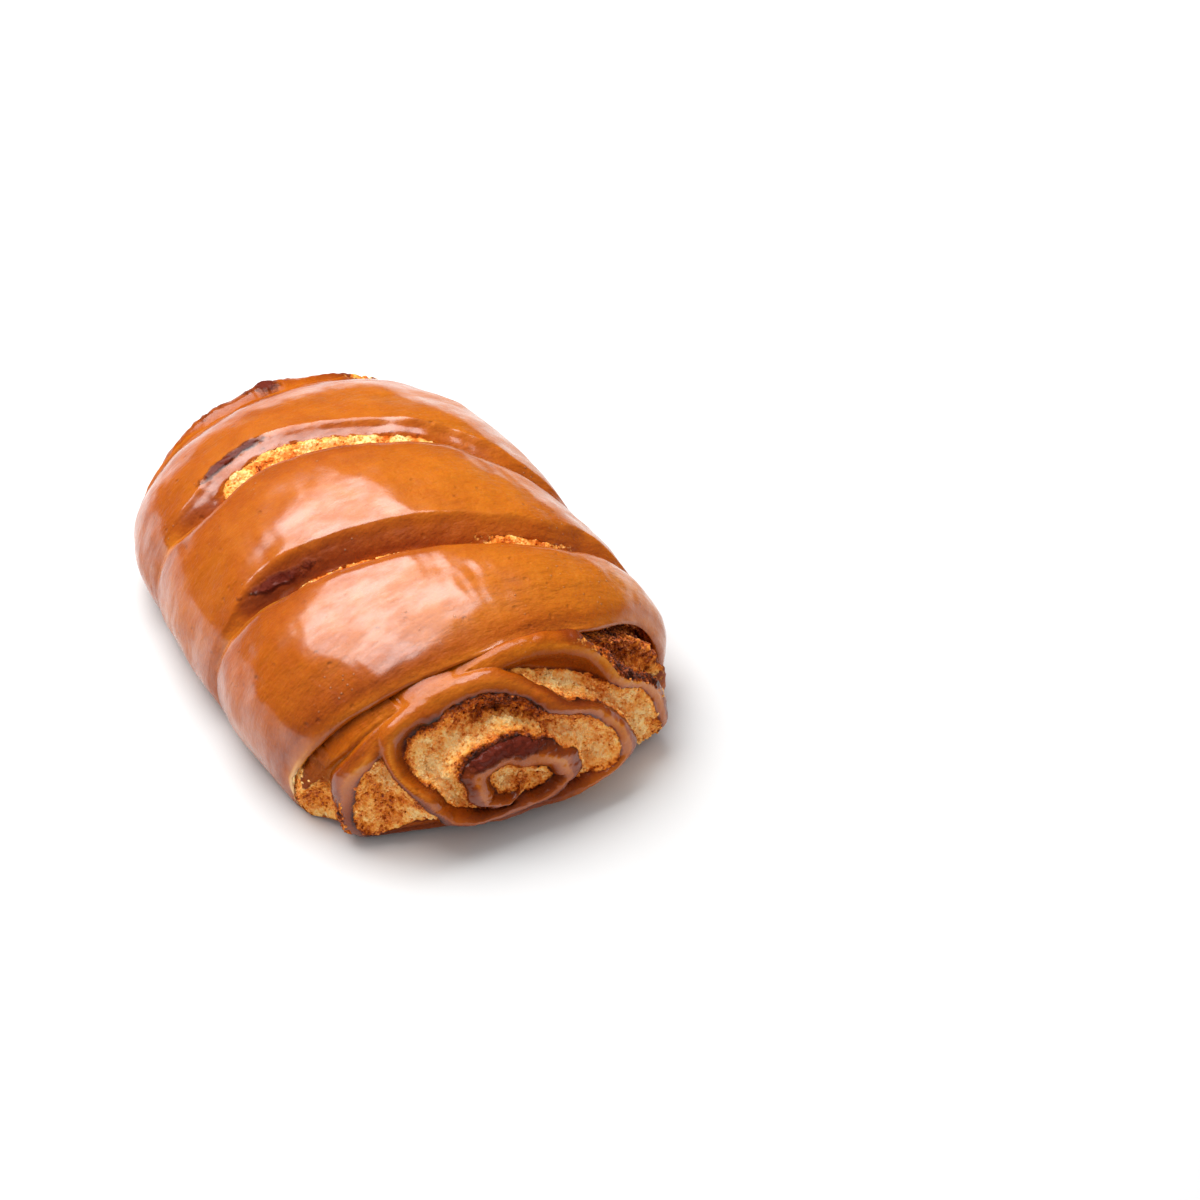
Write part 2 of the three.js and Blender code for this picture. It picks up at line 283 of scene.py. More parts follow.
def lipFrame(spiral, lip, angle):
    rim = sectionPoint(lipAt(lip, angle), angle)
    aim = np.array(spiral["tip"]) - rim
    aim[:, 0] = 0
    span = np.linalg.norm(aim, axis=1)
    return rim, span, aim / span[:, None]


# Where round an end the coils change: centre and spread in half turns, and power
coilPlaces = {
    "top": (0.5, 0.26, 2),
    "upperLeft": (0.65, 0.17, 4),
    "left": (1.01, 0.15, 2),
    "leftFlat": (1.0, 0.15, 4),
    "lowerLeft": (1.07, 0.13, 2),
    "browned": (1.08, 0.14, 2),
    "patch": (1.06, 0.08, 2),
    "right": (0.05, 0.26, 2),
    "wideRope": (-0.02, 0.16, 2),
    "thinRope": (0.27, 0.13, 2),
    "dullRope": (0.42, 0.1, 2),
    "besideCoil": (0.22, 0.13, 2),
    "cave": (0.19, 0.15, 2),
    "below": (1.45, 0.3, 4),
    "core": (0.6, 0.24, 2),
    "recessShadeAndToast": (0.52, 0.24, 2),
}

# How much browner each of these is than plain crust or crumb. At the foot of each rope this is painted
# shade; in the recess under the middle rope it is painted shade of the overhang over toasted crumb.
coilTones = {
    "rope": 0.12, "footShade": 0.16, "recessShadeAndToast": 0.34, "core": 0.3, "besideCoil": 0.3, "below": 0.08, "eye": 0.14,
    "cave": 0.6, "patch": 0.24, "browned": 0.2, "toasted": 0.24, "ropeLimit": 0.33,
}


# The ropes themselves, and the crests on both sides of a place with half the ropes' widths there.
def ropesAt(crests, place, span, around, upperLeft):
    ridge, edge, sheen, inner, heel, toe, coil = (np.zeros_like(upperLeft) for _ in range(7))
    outer = np.ones_like(upperLeft)
    for i, crest in enumerate(crests):
        wide = crest["wide"] * (1 - 0.25 * around["thinRope"] * (i == 1))
        wide = wide * (1 + 0.3 * around["wideRope"])
        fade = 1 - 0.92 * upperLeft * (i == 2)
        bright = 1 - 0.7 * around["dullRope"] * (i == 2)
        away = (place - crest["at"]) * span / wide
        ridge = np.maximum(ridge, crest["high"] * fade * np.maximum(0, 1 - away ** 2) ** 0.6)
        edge = np.maximum(edge, fade * bright * np.exp(-(away / 0.95) ** 4))
        sheen = np.maximum(sheen, fade * np.exp(-((away + 0.1) / 0.55) ** 2))
        past = place >= crest["at"]
        settled = past | (outer < crest["at"])
        inner = np.where(past, crest["at"], inner)
        heel = np.where(past, 0.7 * wide, heel)
        coil = np.where(past, i + 1, coil)
        toe = np.where(settled, toe, 0.7 * wide)
        outer = np.where(settled, outer, crest["at"])
    return {
        "ridge": ridge, "edge": edge, "sheen": sheen, "coil": coil,
        "inner": inner, "outer": outer, "heel": heel, "toe": toe,
    }


# Crumb shows in the eye, between the coils and in the cave beside the lip.
def coilCrumb(ropes, place, span, outward, part, around, upperLeft):
    coil, top, right = ropes["coil"], around["top"], around["right"]
    last = 0.72 - 0.08 * top + 0.4 * np.maximum(right, around["leftFlat"])
    last = np.where(coil == 1, 0.8 + 0.3 * top + 0.3 * right, last)
    torn = smooth(0.0, 0.9, outward) * (1 - smooth(last - 0.09, last + 0.09, part))
    torn = torn * smooth(0.5, 0.85, 0.7 * (ropes["outer"] - place) * span / (ropes["toe"] + 0.001))
    torn = np.where(coil == 0, 1 - smooth(0.7, 0.95, part), torn) * np.where(coil == 2, 1 - upperLeft, 1)
    patch = around["patch"] * (coil == 3)
    return np.where(coil == 3, np.maximum(around["cave"], 0.9 * patch), torn)


# Height and zones of the given coils; place is the share of the way out.
def coilZones(spiral, crests, place, span, angle):
    near = spiral["tip"][0] > 0
    around = {k: swell(angle, at * pi, spread * pi, power) for k, (at, spread, power) in coilPlaces.items()}
    top, cave = around["top"], around["cave"]
    upperLeft = near * around["upperLeft"]
    ropes = ropesAt(crests, place, span, around, upperLeft)
    edge, coil = ropes["edge"], ropes["coil"]
    outward = np.maximum(0, (place - ropes["inner"]) * span - ropes["heel"])
    inward = np.maximum(0, (ropes["outer"] - place) * span - ropes["toe"])
    part = outward / (outward + inward + 0.01)

    deepest = 0.45 + 0.28 * top
    valley = smooth(0.0, deepest, part) * (1 - smooth(deepest + 0.04, 1.0, part))
    valley = valley * (1 - np.exp(-(outward + inward) / 5.0)) * np.where(coil == 0, 0.2, 1)
    valley = valley * (1 - 0.85 * upperLeft * (coil >= 2))
    eye = np.where(coil == 0, 1 - smooth(0.3, 1.0, part), 0)
    outerCoil = np.exp(-((place - crests[-1]["at"]) * span / 2.0) ** 2)
    knobs = sum(size * swell(angle, centre, spread) for centre, spread, size in spiral["knobs"]) * outerCoil
    torn = coilCrumb(ropes, place, span, outward, part, around, upperLeft)

    tones = coilTones
    core = around["core"] * np.exp(-(((place - crests[0]["at"]) * span - 1.4) / 2.6) ** 2)
    # Painted shade under the middle rope's overhang, over toasted crumb
    recessShadeAndToast = around["recessShadeAndToast"] * smooth(0.35, 0.8, part) * (coil == 1)
    beside = np.maximum(around["left"], 0.8 * around["besideCoil"])
    beside = beside * np.exp(-(outward / 2.4) ** 2) * (coil == 2)
    # Painted shade along the feet of the ropes, in the valleys beside them
    footShade = np.exp(-(outward / 1.6) ** 2) * (coil > 0)
    footShade = footShade + 1.4 * np.exp(-(inward / 1.8) ** 2) * (coil < 3) * (1 - edge)
    patch = around["patch"] * (coil == 3)
    brown = tones["rope"] * edge + tones["footShade"] * footShade + tones["recessShadeAndToast"] * recessShadeAndToast + tones["core"] * core
    brown = brown + tones["besideCoil"] * beside + tones["below"] * around["below"]
    brown = brown + tones["eye"] * (coil == 0) * (1 - edge) * smooth(-0.2, 0.4, np.cos(angle))
    brown = brown + np.where(coil == 3, tones["cave"] * cave + tones["patch"] * patch, 0)
    brown = brown + tones["browned"] * around["browned"] * smooth(0.1, 0.6, part) * (coil == 2)
    limit = np.where(torn > 0.5, 1.0, tones["ropeLimit"])
    toasted = smooth(0.1, 0.4, torn) * (1 - smooth(0.7, 1.0, torn)) * (coil < 3)
    brown = np.where(near, np.minimum(brown, limit), 0.5 * brown) + tones["toasted"] * toasted

    middle = np.exp(-((part - 0.45) / 0.24) ** 2) * (1 - 0.75 * top) * (coil > 0)
    middle = np.maximum(middle, 0.7 * top * (coil == 2) * np.exp(-((part - 0.28) / 0.2) ** 2))
    middle = middle * (1 - 0.85 * around["lowerLeft"] * (coil == 2))
    slope = upperLeft * (coil >= 2)
    # Painted sheen: rope tops paler, more so on the upper side
    sheen = near * ropes["sheen"] * (0.26 + 0.4 * smooth(-0.3, 0.5, np.sin(angle)))
    sheen = sheen * (1 - 0.8 * core) * (1 - slope)
    relief = ropes["ridge"] - spiral["groove"] * valley - spiral["eye"] * eye
    return {
        "relief": relief + spiral["knobHeight"] * knobs,
        "torn": torn,
        "brown": brown * (1 - 0.6 * slope),
        "burn": near * core + knobs,
        "pale": 0.3 * eye + 0.4 * middle * (1 - slope) + 0.22 * slope + sheen,
        "glaze": np.maximum(0.9 * edge, np.maximum(0.4 * slope, 0.12)),
        "wrinkle": 1 - 0.6 * slope,
    }


# Waves along the coils: amount, waves a turn, twist from the middle to the rim, and start
coilWaves = [(0.010, 5, 7, 0), (0.005, 13, -9, 0), (0.007, 9, 15, 2)]


# The outermost crest starts and the innermost one ends under the loaf.
def capRing(spiral, lip, wind):

    def ring(angle):
        _, span, _ = lipFrame(spiral, lip, angle)
        hollow = (1.25 * rollAt(lip, angle) + lip["gap"]) * gapOpen(lip, angle)
        point = capPoint(spiral, lip, wind * (1 - hollow / span), angle)
        wave = sum(size * np.sin(turns * angle + twist * wind + at) for size, turns, twist, at in coilWaves)
        place = wind + wave * smooth(0.1, 0.4, wind)
        crests, first, last = crestsAt(spiral, angle)
        whole = coilZones(spiral, crests, place, span, angle)
        started = coilZones(spiral, crests[:-1], place, span, angle)
        ended = coilZones(spiral, crests[1:], place, span, angle)
        made = {k: whole[k] + first * (started[k] - whole[k]) + last * (ended[k] - whole[k]) for k in whole}
        made["relief"] = made["relief"] * (0.25 + 0.75 * smooth(0, 6, point[:, 2]))
        return {"point": point, **made}

    return ring


# From the hollow beside the spiral, up the inner face and over the rolled edge.
gapSteps = [
    {"inset": 1.25, "gap": 0.8, "back": 1, "sink": 1, "open": 1},
    {"inset": 1.2, "gap": 0.2, "back": 1, "sink": 1, "open": 0.3},
    {"inset": 1.1, "gap": 0, "back": 0.3, "sink": 0.25, "open": 0},
    {"inset": 0.9, "gap": 0, "back": 0, "sink": 0, "open": 0},
    {"inset": 0.5, "gap": 0, "back": 0.13, "sink": 0, "open": 0},
    {"inset": 0.16, "gap": 0, "back": 0.46, "sink": 0, "open": 0},
]


# Values between two steps of a list
def mixStep(steps, place):
    low = int(min(math.floor(place), len(steps) - 2))
    share = place - low
    return {key: steps[low][key] * (1 - share) + steps[low + 1][key] * share for key in steps[0]}


def gapRing(spiral, lip, place):
    step = mixStep(gapSteps, place)

    def ring(angle):
        rim, span, aim = lipFrame(spiral, lip, angle)
        lift = gapOpen(lip, angle)
        deep, centre, spread = lip["cave"]
        mouth = deep * swell(angle, centre, spread)
        roll = rollAt(lip, angle)
        shift = (roll * step["inset"] + lip["gap"] * step["gap"] + mouth * step["open"]) * lift
        sink = (lip["depth"] * (1 - 0.1 * mouth) + 0.2 * mouth) * step["sink"] * lift
        point = rim + aim * shift[:, None]
        point[:, 0] -= np.sign(spiral["tip"][0]) * (roll * step["back"] + sink)
        inside = 1 - smooth(2.0, 3.0, place)
        cave = swell(angle, centre, spread) * (deep > 0)
        leftFoot = swell(angle, 1.03 * pi, 0.1 * pi)
        edge = np.exp(-((place - 3.0) / 0.9) ** 2)
        return {
            "point": point, "relief": 0 * angle,
            "torn": np.maximum(inside * np.maximum(cave, leftFoot), 0.7 * leftFoot * edge),
            "brown": 0.3 * inside + 0.16 * cave * inside + 0.08 * edge * (1 - leftFoot),
            "burn": 0 * angle,
            "pale": leftFoot * smooth(1.5, 2.4, place) * (1 - smooth(4.2, 5.0, place)),
            "glaze": smooth(2.4, 3.8, place) + 0 * angle,
            "wrinkle": 1 - smooth(2.0, 3.0, place) + 0 * angle,
        }

    return ring


# A band bulges between its edges and drops into the slashes.
def bandPoint(band, x, angle):
    share = (band["from"](angle) - x) / (band["from"](angle) - band["to"](angle))
    bulge = loaf["bandBulge"] * np.sin(pi * np.clip(share, 0, 1)) ** 0.8 * offFloor(angle)
    drop = 0
    zones = {name: 0 * angle for name in zoneNames}
    for slash in (nearSlash, farSlash):
        distance = x - slashAt(slash, angle)
        drop = drop + slashDrop(slash, angle, distance)
        for name, mask in slashZones(slash, angle, distance).items():
            zones[name] = np.maximum(zones[name], mask)
    edge = np.exp(-(share / 0.12) ** 2) + np.exp(-((1 - share) / 0.14) ** 2)
    # Darker near the band edges; painted light: darker on the -Y side and paler on the +Y side
    zones["brown"] = zones["brown"] + 0.1 * edge * offFloor(angle) + 0.05 * np.maximum(0, -np.cos(angle))
    zones["pale"] = zones["pale"] + 0.14 * np.maximum(0, np.cos(angle)) * offFloor(angle)
    zones["glaze"] = 1 - zones["torn"]
    return {"point": sectionPoint(x, angle), "relief": bulge - drop, **zones}


# Rings of one band, running away from its near edge; a slash there gets rings of its own.
def bandRings(band):

    def reach(angle):
        return slashReach(band["slash"], angle) if band["slash"] else 0 * angle

    def wallRing(share):
        return lambda angle: bandPoint(band, band["from"](angle) - share * reach(angle), angle)

    def backRing(share):

        def ring(angle):
            start = band["from"](angle) - reach(angle)
            return bandPoint(band, start + (band["to"](angle) - start) * share, angle)

        return ring

    walls = ringCounts["wall"] if band["slash"] else 0
    made = [wallRing((i + 1) / walls) for i in range(walls)]
    made += [backRing(0.02 + 0.98 * i / (ringCounts["band"] - 1)) for i in range(ringCounts["band"])]
    return made


def capRings(spiral, lip, count):
    return [capRing(spiral, lip, (i + 1) / count) for i in range(count)]


def gapRings(spiral, lip, count):
    first, last = 0.25, len(gapSteps) - 1
    return [gapRing(spiral, lip, first + (last - first) * i / (count - 1)) for i in range(count)]


def allRings():
    seams = [
        lambda angle: lipAt(nearLip, angle) - rollAt(nearLip, angle),
        lambda angle: slashAt(nearSlash, angle),
        lambda angle: slashAt(farSlash, angle),
        lambda angle: lipAt(farLip, angle) + rollAt(farLip, angle),
    ]
    bands = [
        {"from": seams[0], "to": seams[1], "slash": None},
        {"from": seams[1], "to": seams[2], "slash": nearSlash},
        {"from": seams[2], "to": seams[3], "slash": farSlash},
    ]
    near = capRings(nearSpiral, nearLip, ringCounts["nearCap"])
    near += gapRings(nearSpiral, nearLip, ringCounts["nearGap"])
    middle = [ring for band in bands for ring in bandRings(band)]
    far = capRings(farSpiral, farLip, ringCounts["farCap"])
    far += gapRings(farSpiral, farLip, ringCounts["farGap"])
    return [*near, *middle, *reversed(far)]


# One smooth value between -1 and 1 for every point; size is the width of a swell in millimetres.
def softNoise(points, size, shift):
    offset = Vector((shift, 2.3 * shift, -1.7 * shift))
    return np.array([noise.noise(Vector(p) / size + offset) for p in points])


# Moves the points of a ring grid out along its normals, with a slow unevenness, and none below the base.
def raiseGrid(base, relief):
    along = np.vstack([base[1:], base[-1:]]) - np.vstack([base[:1], base[:-1]])
    across = np.roll(base, -1, axis=1) - np.roll(base, 1, axis=1)
    normal = np.cross(along, across)
    normal /= np.linalg.norm(normal, axis=2)[..., None] + 1e-9
    flat = base.reshape(-1, 3)
    uneven = softNoise(flat, 26, 3.1) + 0.45 * softNoise(flat, 11, 8.7)
    lifted = loaf["unevenness"] * uneven.reshape(relief.shape) * smooth(0, 8, base[..., 2])
    points = base + normal * (relief + lifted)[..., None]
    points[..., 2] = np.maximum(points[..., 2], 0)
    return points


def makeLoafMesh():
    columns = loaf["columns"]
    even = 2 * pi * np.arange(columns) / columns
    angles = even + loaf["columnWarp"] * np.cos(even)
    rings = [ring(angles) for ring in allRings()]
    base = np.array([ring["point"] for ring in rings])
    relief = np.array([ring["relief"] + 0 * angles for ring in rings])
    zones = {name: np.array([ring[name] + 0 * angles for ring in rings]) for name in zoneNames}
    points = raiseGrid(base, relief)
    rows = len(rings)
    tips = [points[0].mean(axis=0), points[-1].mean(axis=0)]
    cells = np.arange(rows * columns).reshape(rows, columns)
    right = np.roll(cells, -1, axis=1)
    quads = np.stack([cells[:-1], cells[1:], right[1:], right[:-1]], axis=-1).reshape(-1, 4)
    nearTip, farTip = rows * columns, rows * columns + 1
    fans = [(nearTip, int(cells[0, j]), int(right[0, j])) for j in range(columns)]
    fans += [(farTip, int(right[-1, j]), int(cells[-1, j])) for j in range(columns)]
    corners = np.vstack([points.reshape(-1, 3), tips]) * mm
    mesh = bpy.data.meshes.new("roll")
    mesh.from_pydata(corners.tolist(), [], quads.tolist() + fans)
    for name in zoneNames:
        ends = [zones[name][0].mean(), zones[name][-1].mean()]
        values = np.concatenate([zones[name].ravel(), ends]).astype(np.float32)
        mesh.attributes.new(name, "FLOAT", "POINT").data.foreach_set("value", np.clip(values, 0, 1))
    mesh.validate()
    mesh.update()
    mesh.shade_smooth()
    return mesh


# Stretches a mesh to fill a box.
def fitInside(mesh, low, high):
    points = np.zeros(len(mesh.vertices) * 3, np.float32)
    mesh.vertices.foreach_get("co", points)
    points = points.reshape(-1, 3)
    own = [points.min(axis=0), points.max(axis=0)]
    points = np.array(low) + (points - own[0]) * (np.array(high) - np.array(low)) / (own[1] - own[0])
    mesh.vertices.foreach_set("co", points.astype(np.float32).ravel())
    mesh.update()


def linear(red, green, blue):
    parts = [v / 255 for v in (red, green, blue)]
    return tuple(v / 12.92 if v <= 0.04045 else ((v + 0.055) / 1.055) ** 2.4 for v in parts) + (1.0,)


def addNode(tree, kind, values=None, **settings):
    node = tree.nodes.new(kind)
    for name, value in settings.items():
        setattr(node, name, value)
    for name, value in (values or {}).items():
        node.inputs[name].default_value = value
    return node


def addMath(tree, operation, first, second=None, third=None, clamp=False):
    node = addNode(tree, "ShaderNodeMath", operation=operation, use_clamp=clamp)
    for i, value in enumerate((first, second, third)):
        if value is None:
            continue
        if isinstance(value, (int, float)):
            node.inputs[i].default_value = value
        else:
            tree.links.new(value, node.inputs[i])
    return node.outputs[0]


def addRange(tree, value, low, high, outLow=0.0, outHigh=1.0):
    kind = "ShaderNodeMapRange"
    node = addNode(tree, kind, {"From Min": low, "From Max": high, "To Min": outLow, "To Max": outHigh})
    node.interpolation_type = "SMOOTHSTEP"
    tree.links.new(value, node.inputs["Value"])
    return node.outputs["Result"]


def addRamp(tree, value, stops):
    node = addNode(tree, "ShaderNodeValToRGB")
    ramp = node.color_ramp
    for i, (place, shade) in enumerate(stops):
        stop = ramp.elements[i] if i < 2 else ramp.elements.new(place)
        stop.position = place
        stop.color = linear(*shade)
    tree.links.new(value, node.inputs["Fac"])
    return node.outputs["Color"]


def addMix(tree, share, first, second, blend="MIX"):
    node = addNode(tree, "ShaderNodeMix", data_type="RGBA", blend_type=blend, clamp_factor=True)
    for name, value in (("Factor", share), ("A", first), ("B", second)):
        socket = [s for s in node.inputs if s.name == name and s.enabled][0]
        if isinstance(value, (int, float, tuple)):
            socket.default_value = value
        else:
            tree.links.new(value, socket)
    return [s for s in node.outputs if s.enabled][0]


def addNoise(tree, vector, scale, detail=3.0, roughness=0.55):
    node = addNode(tree, "ShaderNodeTexNoise", {"Scale": scale, "Detail": detail, "Roughness": roughness})
    tree.links.new(vector, node.inputs["Vector"])
    return node.outputs["Fac"]


def addVoronoi(tree, vector, scale, feature="F1"):
    node = addNode(tree, "ShaderNodeTexVoronoi", {"Scale": scale}, feature=feature)
    tree.links.new(vector, node.inputs["Vector"])
    return node.outputs["Distance"]


def newGroup(name, inputs, outputs):
    tree = bpy.data.node_groups.new(name, "ShaderNodeTree")
    for label, kind, value in inputs:
        socket = tree.interface.new_socket(label, in_out="INPUT", socket_type=kind)
        if value is not None:
            socket.default_value = value
    for label, kind in outputs:
        tree.interface.new_socket(label, in_out="OUTPUT", socket_type=kind)
    return tree, addNode(tree, "NodeGroupInput").outputs, addNode(tree, "NodeGroupOutput").inputs


# Sum of several values or sockets
def addSum(tree, *values, clamp=False):
    total = values[0]
    for i, value in enumerate(values[1:]):
        total = addMath(tree, "ADD", total, value, clamp=clamp and i == len(values) - 2)
    return total


# Egg-washed crust: honey where it is pale, chestnut where it is brown.
crustLook = {
    "stops": [
        (0.0, (236, 192, 130)), (0.2, (216, 142, 58)), (0.38, (186, 100, 12)), (0.52, (164, 77, 3)),
        (0.66, (130, 52, 3)), (0.82, (92, 33, 8)), (1.0, (46, 18, 10)),
    ],
    "level": 0.45,               # place on the colour ramp where nothing browns or bleaches it
    "paleReach": 0.42,
    "scorch": (98, 34, 20),
    "speck": (250, 226, 190),
    "cloudScale": 38.0,
    "cloudDepth": 0.26,
    "mottleScale": 240.0,
    "fineScale": 1500.0,
    "speckScale": 620.0,
    "speckPatchScale": 90.0,
    "streakScale": 210.0,
    "streakStretch": (1.0, 0.4, 0.4),
    "streakTurn": (0.0, 0.0, -0.35),
    "dimpleScale": 700.0,
    "dentScale": 210.0,
    "roughness": 0.42,
    "coat": 0.8,
    "coatRoughness": 0.17,
    "coatIor": 1.75,
    "specular": 0.06,
    "glow": {"weight": 0.12, "radius": (1.0, 0.45, 0.2), "scale": 0.0018},
    "bumpDepth": 0.0017,
}

# Torn crumb: cream in the open, toasted where it is brown.
crumbLook = {
    "stops": [
        (0.0, (255, 215, 147)), (0.25, (254, 184, 95)), (0.45, (234, 136, 47)), (0.65, (178, 82, 20)),
        (0.82, (118, 48, 14)), (1.0, (62, 24, 11)),
    ],
    "level": 0.10,
    "clumpScale": 330.0,
    "grainScale": 1300.0,
    "patchScale": 150.0,
    "poreScale": 900.0,
    "lift": 0.9,                 # painted highlight and shade: how much raised crumb is paler and sunk crumb darker
    "brown": 0.95,
    "burn": 0.45,
    "pale": 0.22,
    "glow": {"weight": 0.1, "radius": (1.0, 0.5, 0.25), "scale": 0.0012},
    "bumpDepth": 0.0006,
    "grainBump": {"Strength": 0.6, "Distance": 0.0003},
}

zoneInputs = ["Brown", "Pale", "Burn", "Lift"]
zoneSockets = [("Vector", "NodeSocketVector", None)]
zoneSockets += [(name, "NodeSocketFloat", 0.0) for name in zoneInputs]


def makeCrustGroup():
    look = crustLook
    outputs = [("Color", "NodeSocketColor")]
    outputs += [(name, "NodeSocketFloat") for name in ("Roughness", "Coat", "Height")]
    tree, given, made = newGroup("bakedCrust", zoneSockets, outputs)
    vector = given["Vector"]

    # Colour: clouds, mottling and fine grain around the level, then scorch marks and pale specks
    clouds = addNoise(tree, vector, look["cloudScale"], 4.0)
    mottle = addNoise(tree, vector, look["mottleScale"], 3.0)
    fine = addNoise(tree, vector, look["fineScale"], 2.0)
    lowest = look["level"] - 0.5 * look["cloudDepth"]
    level = addMath(tree, "MULTIPLY_ADD", clouds, look["cloudDepth"], lowest)
    mottled = addRange(tree, mottle, 0.2, 0.8, -0.035, 0.035)
    grained = addRange(tree, fine, 0.2, 0.8, -0.02, 0.02)
    level = addSum(tree, level, mottled, grained, given["Brown"])
    # Paler where the pale zone says, which also carries the painted sheen on the rope tops and the painted
    # light on the +Y side
    paleAndSheen = addMath(tree, "MULTIPLY", given["Pale"], look["paleReach"])
    level = addMath(tree, "SUBTRACT", level, paleAndSheen, clamp=True)
    shade = addRamp(tree, level, look["stops"])
    scorch = addSum(tree, given["Burn"], addRange(tree, mottle, 0.25, 0.75, -0.22, 0.22))
    scorch = addRange(tree, scorch, 0.3, 0.75)
    shade = addMix(tree, scorch, shade, linear(*look["scorch"]))
    specks = addVoronoi(tree, vector, look["speckScale"])
    gate = addRange(tree, addNoise(tree, vector, look["speckPatchScale"], 2.0), 0.56, 0.68)
    specks = addMath(tree, "MULTIPLY", addRange(tree, specks, 0.2, 0.08), gate)
    shade = addMix(tree, addMath(tree, "MULTIPLY", specks, 0.12), shade, linear(*look["speck"]))
    tree.links.new(shade, made["Color"])

    # Glaze: brushed on in streaks, dull where it is scorched
    brushing = {"Scale": look["streakStretch"], "Rotation": look["streakTurn"]}
    stretch = addNode(tree, "ShaderNodeMapping", brushing)
    tree.links.new(vector, stretch.inputs["Vector"])
    streaks = addNoise(tree, stretch.outputs[0], look["streakScale"], 5.0, 0.62)
    rough = addRange(tree, streaks, 0.3, 0.8, look["roughness"] - 0.05, look["roughness"] + 0.13)
    rough = addSum(tree, rough, addMath(tree, "MULTIPLY", scorch, 0.25), clamp=True)
    tree.links.new(rough, made["Roughness"])
    coat = addRange(tree, streaks, 0.36, 0.62, look["coat"] + 0.2, look["coat"] - 0.35)
    coat = addMath(tree, "MULTIPLY", coat, addMath(tree, "MULTIPLY_ADD", scorch, -0.8, 1.0))
    coat = addMath(tree, "SUBTRACT", coat, addMath(tree, "MULTIPLY", specks, 0.4), clamp=True)
    tree.links.new(coat, made["Coat"])

    # Height: streaks, dimples, specks, small dents and the roughened scorch marks
    dimples = addNoise(tree, vector, look["dimpleScale"], 2.0)
    height = addMath(tree, "MULTIPLY", streaks, 0.7)
    height = addMath(tree, "MULTIPLY_ADD", dimples, 0.14, height)
    height = addMath(tree, "MULTIPLY_ADD", specks, 0.12, height)
    dents = addRange(tree, addVoronoi(tree, vector, look["dentScale"]), 0.16, 0.0)
    height = addMath(tree, "MULTIPLY_ADD", dents, -0.2, height)
    blisters = addMath(tree, "MULTIPLY", scorch, mottle)
    height = addMath(tree, "MULTIPLY_ADD", blisters, 1.2, height)
    tree.links.new(height, made["Height"])
    return tree


def makeCrumbGroup():
    look = crumbLook
    outputs = [("Color", "NodeSocketColor"), ("Roughness", "NodeSocketFloat"), ("Height", "NodeSocketFloat")]
    tree, given, made = newGroup("tornCrumb", zoneSockets, outputs)
    vector = given["Vector"]
    clumps = addNoise(tree, vector, look["clumpScale"], 4.0, 0.65)
    grain = addNoise(tree, vector, look["grainScale"], 3.0, 0.6)
    patches = addNoise(tree, vector, look["patchScale"], 2.0)
    pores = addRange(tree, addVoronoi(tree, vector, look["poreScale"]), 0.42, 0.08)
    level = addSum(
        tree, addRange(tree, clumps, 0.25, 0.75, -0.12, 0.2), look["level"],
        addRange(tree, grain, 0.25, 0.75, -0.12, 0.16), addRange(tree, patches, 0.3, 0.7, -0.12, 0.16),
    )
    # Painted shade: darker in the pores
    level = addMath(tree, "MULTIPLY_ADD", pores, 0.24, level)
    # Painted highlight and shade: raised crumb paler, sunk crumb darker
    level = addMath(tree, "MULTIPLY_ADD", given["Lift"], -look["lift"], level)
    level = addMath(tree, "MULTIPLY_ADD", given["Brown"], look["brown"], level)
    level = addMath(tree, "MULTIPLY_ADD", given["Burn"], look["burn"], level)
    level = addMath(tree, "MULTIPLY_ADD", given["Pale"], -look["pale"], level, clamp=True)
    tree.links.new(addRamp(tree, level, look["stops"]), made["Color"])
    tree.links.new(addRange(tree, grain, 0.2, 0.8, 0.62, 0.9), made["Roughness"])
    height = addMath(tree, "MULTIPLY", clumps, 0.8)
    height = addMath(tree, "MULTIPLY_ADD", grain, 0.5, height)
    tree.links.new(addMath(tree, "MULTIPLY_ADD", pores, -0.45, height), made["Height"])
    return tree


def readZone(tree, name):
    return addNode(tree, "ShaderNodeAttribute", attribute_name=name).outputs["Fac"]


def placeGroup(tree, group, vector):
    node = addNode(tree, "ShaderNodeGroup", node_tree=group)
    tree.links.new(vector, node.inputs["Vector"])
    for label in zoneInputs:
        tree.links.new(readZone(tree, label.lower()), node.inputs[label])
    return node.outputs


def newMaterial(name):
    material = bpy.data.materials.new(name)
    material.use_nodes = True
    tree = material.node_tree
    surface = tree.nodes["Principled BSDF"]
    return material, tree, surface


# Light that soaks into the dough
def addGlow(surface, glow):
    surface.inputs["Subsurface Weight"].default_value = glow["weight"]
    surface.inputs["Subsurface Radius"].default_value = glow["radius"]
    surface.inputs["Subsurface Scale"].default_value = glow["scale"]


def addBump(tree, surface, height, values):
    bump = addNode(tree, "ShaderNodeBump", values)
    tree.links.new(height, bump.inputs["Height"])
    tree.links.new(bump.outputs["Normal"], surface.inputs["Normal"])


